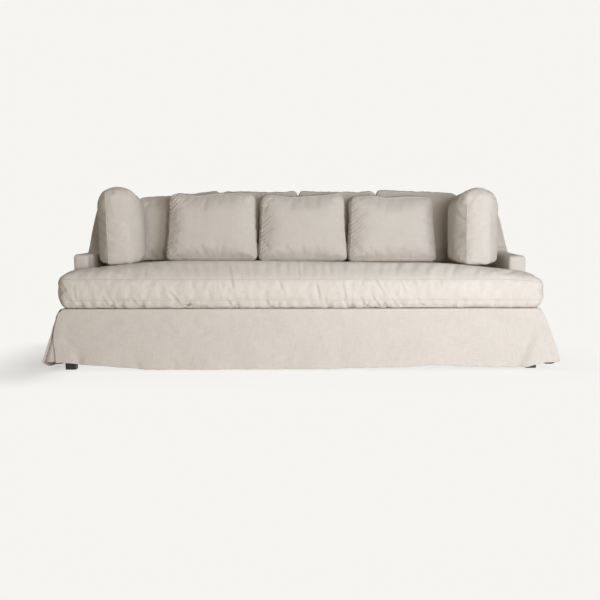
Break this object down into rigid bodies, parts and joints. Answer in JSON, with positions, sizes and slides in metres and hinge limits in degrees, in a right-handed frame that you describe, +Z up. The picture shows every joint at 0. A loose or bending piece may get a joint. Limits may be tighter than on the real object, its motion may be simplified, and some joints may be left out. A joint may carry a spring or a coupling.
{
  "type": "camelback sofa",
  "caption": "Long slipcovered sofa with swooping low arms, a T-shaped bench cushion, loose back and side cushions, boxed pillows and a floor-length skirt.",
  "frame": {"origin": "on the floor, under the middle of the sofa", "axes": "+X to the right of someone looking at the front, +Y towards the back, +Z up; the front faces -Y"},
  "size_m": [2.4972, 1.0572, 0.917],
  "materials": {
    "slipcover_linen": "matte",
    "cushion_linen": "matte",
    "wadding": "matte",
    "cambric": "matte",
    "webbing": "matte",
    "hardwood": "matte",
    "plywood": "matte",
    "foot_black": "satin"
  },
  "bodies": {
    "root": {"front_rail": "hardwood", "rear_rail": "hardwood", "side_rail_left": "hardwood", "side_rail_right": "hardwood", "corner_block_front_left": "hardwood", "corner_block_front_right": "hardwood", "corner_block_rear_left": "hardwood", "corner_block_rear_right": "hardwood", "seat_stretcher_left": "hardwood", "seat_stretcher_right": "hardwood", "arm_post_left": "hardwood", "arm_post_right": "hardwood", "camel_top_rail": "hardwood", "lower_back_rail": "hardwood", "arm_panel_left": "plywood", "arm_panel_right": "plywood", "back_post_left": "plywood", "back_post_centre": "plywood", "back_post_right": "plywood", "web_cross_1": "webbing", "web_cross_2": "webbing", "web_cross_3": "webbing", "web_cross_4": "webbing", "web_cross_5": "webbing", "web_cross_6": "webbing", "web_long_front": "webbing", "web_long_rear": "webbing", "dust_cover": "cambric", "deck_pad": "wadding", "arm_padding_left": "wadding", "arm_padding_right": "wadding", "back_padding": "wadding", "slipcover_deck": "slipcover_linen", "slipcover_arm_left": "slipcover_linen", "slipcover_arm_right": "slipcover_linen", "slipcover_back": "slipcover_linen", "skirt_front": "slipcover_linen", "skirt_rear": "slipcover_linen", "skirt_left": "slipcover_linen", "skirt_right": "slipcover_linen", "kick_pleat_front_left": "slipcover_linen", "kick_pleat_front_right": "slipcover_linen", "kick_pleat_rear_left": "slipcover_linen", "kick_pleat_rear_right": "slipcover_linen", "foot_front_left": "foot_black", "foot_front_centre": "foot_black", "foot_front_right": "foot_black", "foot_rear_left": "foot_black", "foot_rear_centre": "foot_black", "foot_rear_right": "foot_black"},
    "seat_cushion": {"seat_cushion": "cushion_linen"},
    "back_cushion_1": {"back_cushion_1": "cushion_linen"},
    "back_cushion_2": {"back_cushion_2": "cushion_linen"},
    "back_cushion_3": {"back_cushion_3": "cushion_linen"},
    "back_cushion_4": {"back_cushion_4": "cushion_linen"},
    "pillow_left": {"pillow_left": "cushion_linen"},
    "pillow_centre": {"pillow_centre": "cushion_linen"},
    "pillow_right": {"pillow_right": "cushion_linen"},
    "side_cushion_left": {"side_cushion_left": "cushion_linen"},
    "side_cushion_right": {"side_cushion_right": "cushion_linen"}
  },
  "joints": [
    {"name": "seat_cushion_lift", "type": "slide", "parent": "root", "child": "seat_cushion", "axis": [0, 0, 1], "range_m": [0, 0.35]},
    {"name": "back_cushion_1_lift", "type": "slide", "parent": "seat_cushion", "child": "back_cushion_1", "axis": [0, 0.1736, 0.9848], "range_m": [0, 0.42]},
    {"name": "back_cushion_2_lift", "type": "slide", "parent": "seat_cushion", "child": "back_cushion_2", "axis": [0, 0.1736, 0.9848], "range_m": [0, 0.42]},
    {"name": "back_cushion_3_lift", "type": "slide", "parent": "seat_cushion", "child": "back_cushion_3", "axis": [0, 0.1736, 0.9848], "range_m": [0, 0.42]},
    {"name": "back_cushion_4_lift", "type": "slide", "parent": "seat_cushion", "child": "back_cushion_4", "axis": [0, 0.1736, 0.9848], "range_m": [0, 0.42]},
    {"name": "pillow_left_lift", "type": "slide", "parent": "seat_cushion", "child": "pillow_left", "axis": [0, 0.1736, 0.9848], "range_m": [0, 0.42]},
    {"name": "pillow_centre_lift", "type": "slide", "parent": "seat_cushion", "child": "pillow_centre", "axis": [0, 0.1736, 0.9848], "range_m": [0, 0.42]},
    {"name": "pillow_right_lift", "type": "slide", "parent": "seat_cushion", "child": "pillow_right", "axis": [0, 0.1736, 0.9848], "range_m": [0, 0.42]},
    {"name": "side_cushion_left_lift", "type": "slide", "parent": "seat_cushion", "child": "side_cushion_left", "axis": [0, 0, 1], "range_m": [0, 0.42]},
    {"name": "side_cushion_right_lift", "type": "slide", "parent": "seat_cushion", "child": "side_cushion_right", "axis": [0, 0, 1], "range_m": [0, 0.42]}
  ]
}
